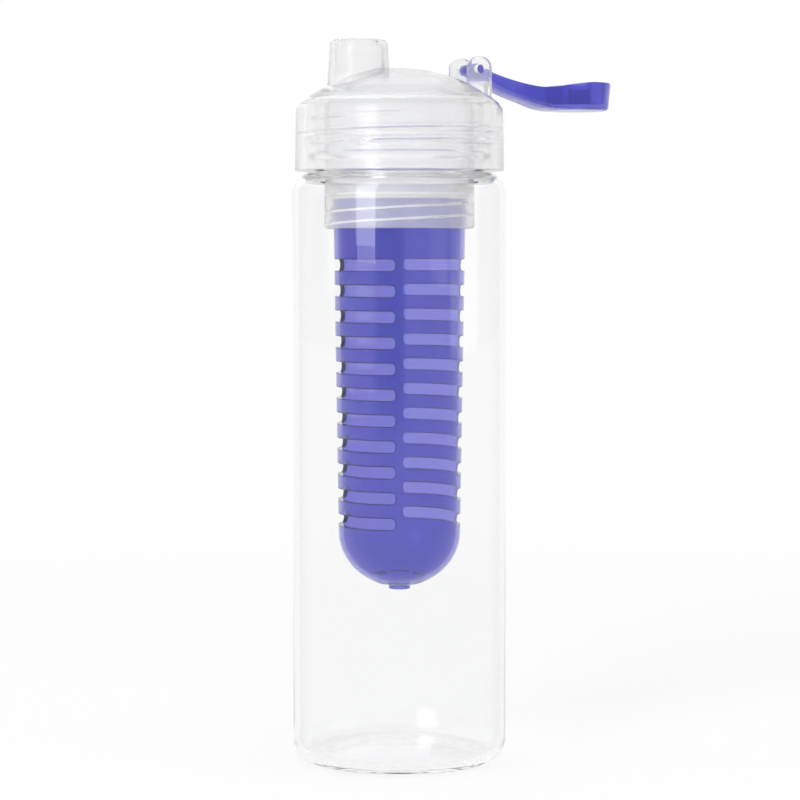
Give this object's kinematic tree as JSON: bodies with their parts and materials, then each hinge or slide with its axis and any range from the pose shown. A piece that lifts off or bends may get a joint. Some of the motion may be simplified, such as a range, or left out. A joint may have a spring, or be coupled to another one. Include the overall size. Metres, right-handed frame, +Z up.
{
  "type": "fruit infuser water bottle",
  "caption": "Clear water bottle with a frosted screw lid, an off-centre spout under a hinged flip cap, and a slotted fruit infuser that screws into the lid's inner collar.",
  "frame": {"origin": "centre of the base, on the plane that the bottle stands on", "axes": "+Z up along the bottle's axis; the spout is on the -X side and the flip cap's hinge on the +X side, with its pin along Y"},
  "size_m": [0.1203, 0.0734, 0.2469],
  "materials": {
    "clear_body": "clear, polished",
    "frosted_lid": "natural frosted, fine matte grain",
    "silicone": "soft matte silicone",
    "tinted_infuser": "translucent blue-violet, satin",
    "tinted_cap": "translucent blue-violet, satin"
  },
  "bodies": {
    "bottle": {"bottle_body": "clear_body"},
    "gasket": {"lid_gasket": "silicone"},
    "lid": {"screw_lid": "frosted_lid"},
    "seal": {"infuser_seal": "silicone"},
    "infuser": {"infuser_basket": "tinted_infuser"},
    "cap": {"flip_cap": "tinted_cap"}
  },
  "joints": [
    {"name": "lid_lift", "type": "slide", "parent": "bottle", "child": "gasket", "axis": [0, 0, 1], "range_m": [0, 0.0084]},
    {"name": "lid_turn", "type": "hinge", "parent": "gasket", "child": "lid", "pos_m": [0, 0, 0.214], "axis": [0, 0, 1], "range_deg": [0, 757]},
    {"name": "infuser_drop", "type": "slide", "parent": "lid", "child": "seal", "axis": [0, 0, -1], "range_m": [0, 0.0068]},
    {"name": "infuser_turn", "type": "hinge", "parent": "seal", "child": "infuser", "pos_m": [0, 0, 0.188], "axis": [0, 0, -1], "range_deg": [0, 307]},
    {"name": "cap_hinge", "type": "hinge", "parent": "lid", "child": "cap", "pos_m": [0.0279, 0, 0.2383], "axis": [0, -1, 0], "range_deg": [0, 180]}
  ],
  "couplings": [
    {"joint": "lid_turn", "follows": "lid_lift", "rad_per_m": 1570.8},
    {"joint": "infuser_turn", "follows": "infuser_drop", "rad_per_m": 785.4}
  ]
}
